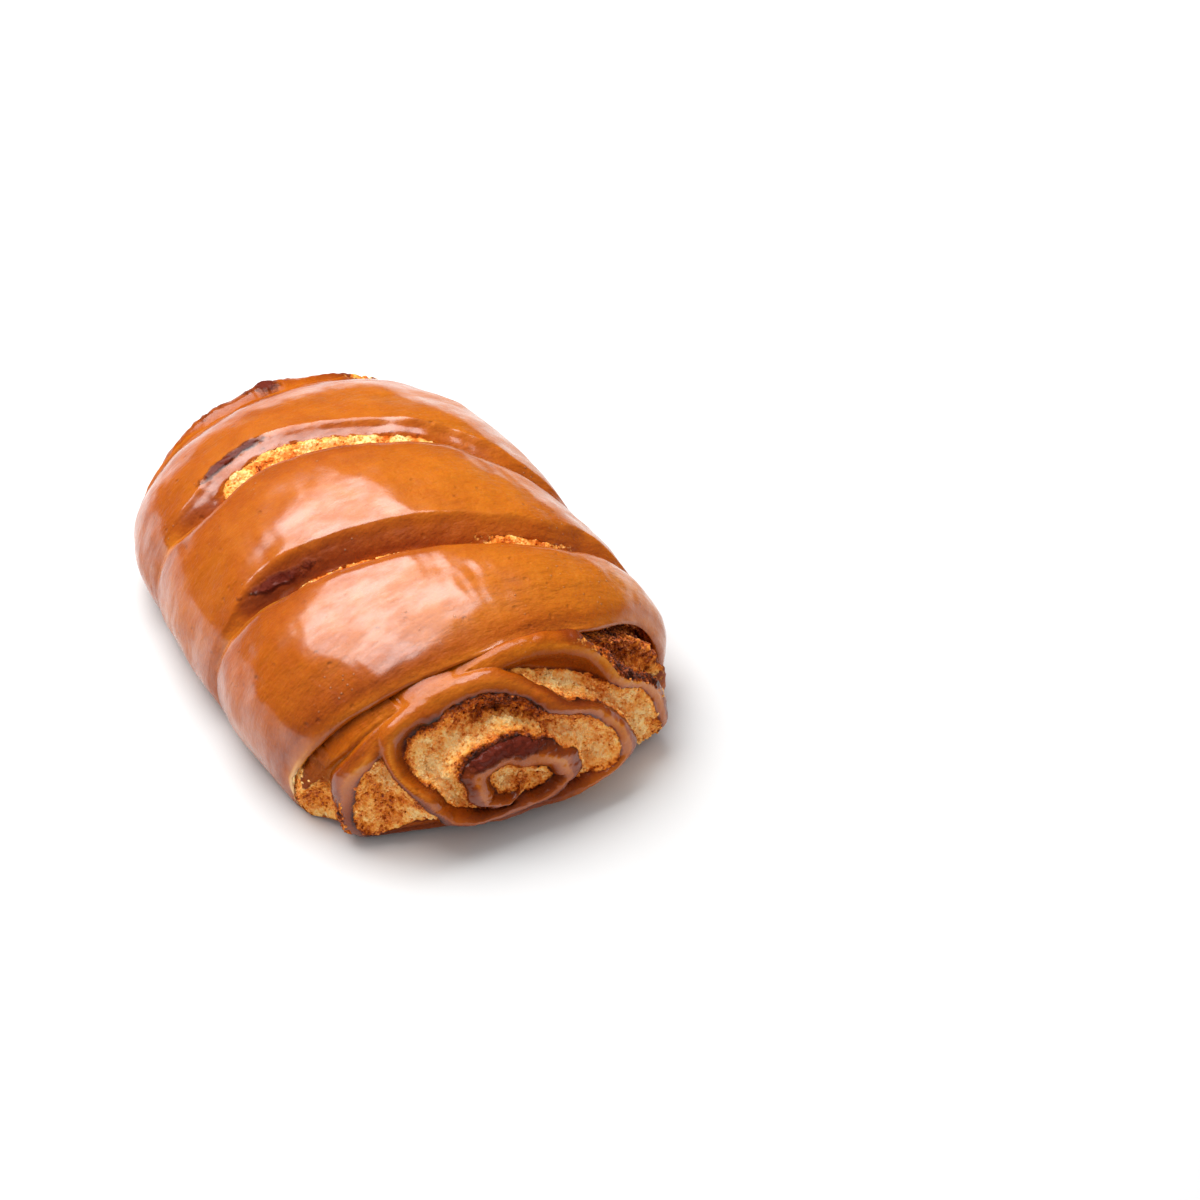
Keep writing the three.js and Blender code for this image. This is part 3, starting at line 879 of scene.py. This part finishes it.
# Crust and crumb in one finish, meeting along a ragged edge
def makeSkin(crust, crumb):
    material, tree, surface = newMaterial("rollSkin")
    vector = addNode(tree, "ShaderNodeTexCoord").outputs["Object"]
    baked = placeGroup(tree, crust, vector)
    crumbly = placeGroup(tree, crumb, vector)
    ragged = addRange(tree, addNoise(tree, vector, 520.0, 3.0), 0.25, 0.75, -0.28, 0.28)
    bare = addRange(tree, addSum(tree, readZone(tree, "torn"), ragged), 0.38, 0.62)
    shut = addMath(tree, "SUBTRACT", 1.0, bare)
    tree.links.new(addMix(tree, bare, baked["Color"], crumbly["Color"]), surface.inputs["Base Color"])
    rougher = addMath(tree, "SUBTRACT", crumbly["Roughness"], baked["Roughness"])
    rough = addMath(tree, "MULTIPLY_ADD", bare, rougher, baked["Roughness"])
    tree.links.new(rough, surface.inputs["Roughness"])
    glazed = addMath(tree, "MULTIPLY", readZone(tree, "glaze"), shut)
    tree.links.new(addMath(tree, "MULTIPLY", baked["Coat"], glazed), surface.inputs["Coat Weight"])
    surface.inputs["Coat Roughness"].default_value = crustLook["coatRoughness"]
    surface.inputs["Coat IOR"].default_value = crustLook["coatIor"]
    surface.inputs["Specular IOR Level"].default_value = crustLook["specular"]
    addGlow(surface, crustLook["glow"])
    smoothHeight = addMath(tree, "MULTIPLY", baked["Height"], crustLook["bumpDepth"])
    roughHeight = addMath(tree, "MULTIPLY", crumbly["Height"], crumbLook["bumpDepth"])
    height = addMath(tree, "MULTIPLY", smoothHeight, shut)
    height = addMath(tree, "MULTIPLY_ADD", roughHeight, bare, height)
    addBump(tree, surface, height, {"Strength": 1.0, "Distance": 1.0})
    return material


def makeGrainFinish(crumb):
    material, tree, surface = newMaterial("crumbGrain")
    vector = addNode(tree, "ShaderNodeTexCoord").outputs["Object"]
    crumbly = placeGroup(tree, crumb, vector)
    tree.links.new(crumbly["Color"], surface.inputs["Base Color"])
    tree.links.new(crumbly["Roughness"], surface.inputs["Roughness"])
    addBump(tree, surface, crumbly["Height"], crumbLook["grainBump"])
    addGlow(surface, crumbLook["glow"])
    return material


# Metres and swells a metre
reliefSizes = {
    "Torn Height": 0.0028,
    "Torn Scale": 560.0,
    "Clump Height": 0.0040,
    "Clump Scale": 230.0,
    "Crust Height": 0.0012,
    "Crust Scale": 105.0,
    "Blister Height": 0.0022,
    "Wrinkle Height": 0.0007,
}

# Grains a square metre, and the radius of a whole one
grainSizes = {
    "Density": 1500000.0,
    "Grain Size": 0.0005,
    "Seed": 11,
}
grainShape = {"smallest": (0.35, 0.35, 0.3), "largest": (1.05, 1.0, 0.85), "turn": 3.14}


def newGeometryTree(name, sizes):
    tree = bpy.data.node_groups.new(name, "GeometryNodeTree")
    tree.interface.new_socket("Geometry", in_out="INPUT", socket_type="NodeSocketGeometry")
    for label, value in sizes.items():
        kind = "NodeSocketInt" if isinstance(value, int) else "NodeSocketFloat"
        tree.interface.new_socket(label, in_out="INPUT", socket_type=kind)
    tree.interface.new_socket("Finish", in_out="INPUT", socket_type="NodeSocketMaterial")
    tree.interface.new_socket("Geometry", in_out="OUTPUT", socket_type="NodeSocketGeometry")
    return tree, addNode(tree, "NodeGroupInput").outputs, addNode(tree, "NodeGroupOutput").inputs


def endTree(tree, shape, finish, made):
    real = addNode(tree, "GeometryNodeRealizeInstances")
    coat = addNode(tree, "GeometryNodeSetMaterial")
    tree.links.new(shape, real.inputs[0])
    tree.links.new(real.outputs[0], coat.inputs[0])
    tree.links.new(finish, coat.inputs["Material"])
    tree.links.new(coat.outputs[0], made["Geometry"])


def readField(tree, name):
    node = addNode(tree, "GeometryNodeInputNamedAttribute", data_type="FLOAT")
    node.inputs["Name"].default_value = name
    return node.outputs["Attribute"]


def fieldNoise(tree, place, scale, detail):
    node = addNode(tree, "ShaderNodeTexNoise", {"Detail": detail})
    tree.links.new(place, node.inputs["Vector"])
    tree.links.new(scale, node.inputs["Scale"])
    return addMath(tree, "SUBTRACT", node.outputs["Fac"], 0.5)


# 0 on the floor, 1 above it
def liftedOff(tree, place, low, high):
    above = addNode(tree, "ShaderNodeSeparateXYZ")
    tree.links.new(place, above.inputs[0])
    return addRange(tree, above.outputs["Z"], low, high)


# Tears the crumb, dimples the crust, blisters the scorched spots and creases the ropes.
def makeReliefTree():
    tree, given, made = newGeometryTree("tornRelief", reliefSizes)
    place = addNode(tree, "GeometryNodeInputPosition").outputs[0]
    torn = readField(tree, "torn")
    burn = readField(tree, "burn")
    shut = addMath(tree, "SUBTRACT", 1.0, torn)
    ragged = fieldNoise(tree, place, given["Torn Scale"], 3.0)
    clumps = fieldNoise(tree, place, given["Clump Scale"], 3.0)
    dimples = fieldNoise(tree, place, given["Crust Scale"], 2.0)
    slightlyRagged = addMath(tree, "MULTIPLY", ragged, 0.6)
    tornLift = addMath(tree, "MULTIPLY", ragged, given["Torn Height"])
    tornLift = addMath(tree, "MULTIPLY_ADD", clumps, given["Clump Height"], tornLift)
    tornLift = addMath(tree, "MULTIPLY", tornLift, torn)
    crustLift = addMath(tree, "MULTIPLY", addMath(tree, "MULTIPLY", dimples, given["Crust Height"]), shut)
    blister = addMath(tree, "MULTIPLY", addMath(tree, "MULTIPLY", ragged, given["Blister Height"]), burn)
    creased = addMath(tree, "MULTIPLY", readField(tree, "wrinkle"), shut)
    folds = addSum(tree, slightlyRagged, clumps)
    creased = addMath(tree, "MULTIPLY", creased, addMath(tree, "MULTIPLY", folds, given["Wrinkle Height"]))
    lift = addSum(tree, tornLift, crustLift, blister, creased)
    lift = addMath(tree, "MULTIPLY", lift, liftedOff(tree, place, 0.0, 0.004))
    push = addNode(tree, "ShaderNodeVectorMath", operation="SCALE")
    tree.links.new(addNode(tree, "GeometryNodeInputNormal").outputs[0], push.inputs[0])
    tree.links.new(lift, push.inputs["Scale"])
    # Kept for the finish, which paints raised crumb paler as a painted highlight and sunk crumb darker as
    # painted shade.
    keep = addNode(tree, "GeometryNodeStoreNamedAttribute", {"Name": "lift"}, data_type="FLOAT")
    keep.domain = "POINT"
    tree.links.new(given["Geometry"], keep.inputs["Geometry"])
    tree.links.new(addMath(tree, "MULTIPLY_ADD", clumps, 0.5, slightlyRagged), keep.inputs["Value"])
    shift = addNode(tree, "GeometryNodeSetPosition")
    tree.links.new(keep.outputs[0], shift.inputs["Geometry"])
    tree.links.new(push.outputs[0], shift.inputs["Offset"])
    endTree(tree, shift.outputs[0], given["Finish"], made)
    return tree


# A random size or turn for every grain
def addRandom(tree, seed, shift, low, high):
    node = addNode(tree, "FunctionNodeRandomValue", data_type="FLOAT_VECTOR")
    node.inputs[0].default_value = low
    node.inputs[1].default_value = high
    tree.links.new(addMath(tree, "ADD", seed, shift), node.inputs["Seed"])
    return node.outputs[0]


# Strews grains over the torn crumb, clear of the floor.
def makeGrainTree():
    tree, given, made = newGeometryTree("looseCrumbs", grainSizes)
    bare = addRange(tree, readField(tree, "torn"), 0.6, 0.9)
    place = addNode(tree, "GeometryNodeInputPosition").outputs[0]
    raised = liftedOff(tree, place, 0.001, 0.004)
    scatter = addNode(tree, "GeometryNodeDistributePointsOnFaces", distribute_method="RANDOM")
    tree.links.new(given["Geometry"], scatter.inputs["Mesh"])
    dense = addMath(tree, "MULTIPLY", addMath(tree, "MULTIPLY", bare, raised), given["Density"])
    tree.links.new(dense, scatter.inputs["Density"])
    tree.links.new(given["Seed"], scatter.inputs["Seed"])
    grain = addNode(tree, "GeometryNodeMeshIcoSphere", {"Subdivisions": 1})
    tree.links.new(given["Grain Size"], grain.inputs["Radius"])
    size = addRandom(tree, given["Seed"], 1.0, grainShape["smallest"], grainShape["largest"])
    halfTurn = Vector((1, 1, 1)) * grainShape["turn"]
    turnBy = addRandom(tree, given["Seed"], 2.0, -halfTurn, halfTurn)
    sow = addNode(tree, "GeometryNodeInstanceOnPoints")
    tree.links.new(scatter.outputs["Points"], sow.inputs["Points"])
    tree.links.new(grain.outputs["Mesh"], sow.inputs["Instance"])
    tree.links.new(turnBy, sow.inputs["Rotation"])
    tree.links.new(size, sow.inputs["Scale"])
    endTree(tree, sow.outputs[0], given["Finish"], made)
    return tree


# Runs a geometry tree over a mesh and returns the result as a plain mesh.
def runTree(tree, mesh, sizes, finish):
    carrier = bpy.data.objects.new("carrier", mesh)
    bpy.context.scene.collection.objects.link(carrier)
    modifier = carrier.modifiers.new(tree.name, "NODES")
    modifier.node_group = tree
    sockets = {s.name: s.identifier for s in tree.interface.items_tree if s.in_out == "INPUT"}
    for label, value in sizes.items():
        modifier[sockets[label]] = value
    modifier[sockets["Finish"]] = finish
    solid = carrier.evaluated_get(bpy.context.evaluated_depsgraph_get())
    result = bpy.data.meshes.new_from_object(solid)
    bpy.data.objects.remove(carrier)
    return result


def addPiece(name, mesh):
    mesh.name = name
    piece = bpy.data.objects.new(name, mesh)
    bpy.context.scene.collection.objects.link(piece)
    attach(piece, "root")
    return piece


# Softbox high behind the left side, plain white room
studio = {
    "keyToward": (-0.40, -0.14, 0.90),
    "keyDistance": 0.62,
    "keySize": (0.62, 0.62),
    "keyPower": 7.0,
    "roomStrength": 0.72,
    "roomShine": 0.03,
    "backdrop": 1.0,
    "floorShade": (212, 212, 212),
    "floorRoughness": 0.7,
    "floorSize": 6.0,
}

# The camera looks down on the near end from the left.
viewpoint = {
    "azimuth": 62.42,
    "elevation": 38.9,
    "distance": 0.8142,
    "target": (0.007, 0.045, 0.0),
    "lens": 113.64,
    "sensor": 36.0,
    "clip": (0.01, 20.0),
}


def makeRoom():
    world = bpy.data.worlds.new("room")
    world.use_nodes = True
    bpy.context.scene.world = world
    tree = world.node_tree
    tree.nodes["Background"].inputs["Color"].default_value = (1, 1, 1, 1)
    path = addNode(tree, "ShaderNodeLightPath").outputs
    # The room lights the roll softly but hardly mirrors in its glaze.
    plain = studio["roomStrength"]
    shine = addMath(tree, "MULTIPLY_ADD", path["Is Glossy Ray"], studio["roomShine"] - plain, plain)
    strength = addMath(tree, "MULTIPLY_ADD", path["Is Camera Ray"], studio["backdrop"] - plain, shine)
    tree.links.new(strength, tree.nodes["Background"].inputs["Strength"])


def makeSoftbox():
    toward = Vector(studio["keyToward"]).normalized()
    middle = 0.5 * (rollLow + rollHigh)
    light = bpy.data.lights.new("softbox", "AREA")
    light.shape = "RECTANGLE"
    light.size, light.size_y = studio["keySize"]
    light.energy = studio["keyPower"]
    lamp = bpy.data.objects.new("softbox", light)
    lamp.location = middle + toward * studio["keyDistance"]
    lamp.rotation_euler = toward.to_track_quat("Z", "Y").to_euler()
    bpy.context.scene.collection.objects.link(lamp)


def makeFloor():
    half = 0.5 * studio["floorSize"]
    corners = [(-half, -half, 0), (half, -half, 0), (half, half, 0), (-half, half, 0)]
    mesh = bpy.data.meshes.new("floor")
    mesh.from_pydata(corners, [], [(0, 1, 2, 3)])
    material, _, surface = newMaterial("paleFloor")
    surface.inputs["Base Color"].default_value = linear(*studio["floorShade"])
    surface.inputs["Roughness"].default_value = studio["floorRoughness"]
    mesh.materials.append(material)
    floor = bpy.data.objects.new("floor", mesh)
    bpy.context.scene.collection.objects.link(floor)


def makeCamera():
    across, up = math.radians(viewpoint["azimuth"]), math.radians(viewpoint["elevation"])
    back = Vector((math.sin(across) * math.cos(up), -math.cos(across) * math.cos(up), math.sin(up)))
    lens = bpy.data.cameras.new("camera")
    lens.lens = viewpoint["lens"]
    lens.sensor_width = viewpoint["sensor"]
    lens.clip_start, lens.clip_end = viewpoint["clip"]
    camera = bpy.data.objects.new("camera", lens)
    camera.location = Vector(viewpoint["target"]) + back * viewpoint["distance"]
    camera.rotation_euler = back.to_track_quat("Z", "Y").to_euler()
    bpy.context.scene.collection.objects.link(camera)
    bpy.context.scene.camera = camera


makeCamera()
makeRoom()
makeSoftbox()
makeFloor()
bpy.context.scene.view_settings.view_transform = "Standard"
print("camera and room ready")

crustGroup = makeCrustGroup()
crumbGroup = makeCrumbGroup()
rollSkin = makeSkin(crustGroup, crumbGroup)
crumbGrain = makeGrainFinish(crumbGroup)
print("finishes ready")

loafMesh = makeLoafMesh()
print("loaf shaped", len(loafMesh.vertices))
bakedMesh = runTree(makeReliefTree(), loafMesh, reliefSizes, rollSkin)
inset = Vector((1, 1, 1)) * loaf["inset"] * mm
fitInside(bakedMesh, (*(rollLow + inset).xy, rollLow.z), rollHigh - inset)
print("crumb torn")
grainMesh = runTree(makeGrainTree(), bakedMesh, grainSizes, crumbGrain)
print("loose crumbs", len(grainMesh.vertices) // 12)

roll = addPiece("sweetRoll", bakedMesh)
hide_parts("sweet_roll")
addPiece("looseCrumbs", grainMesh)
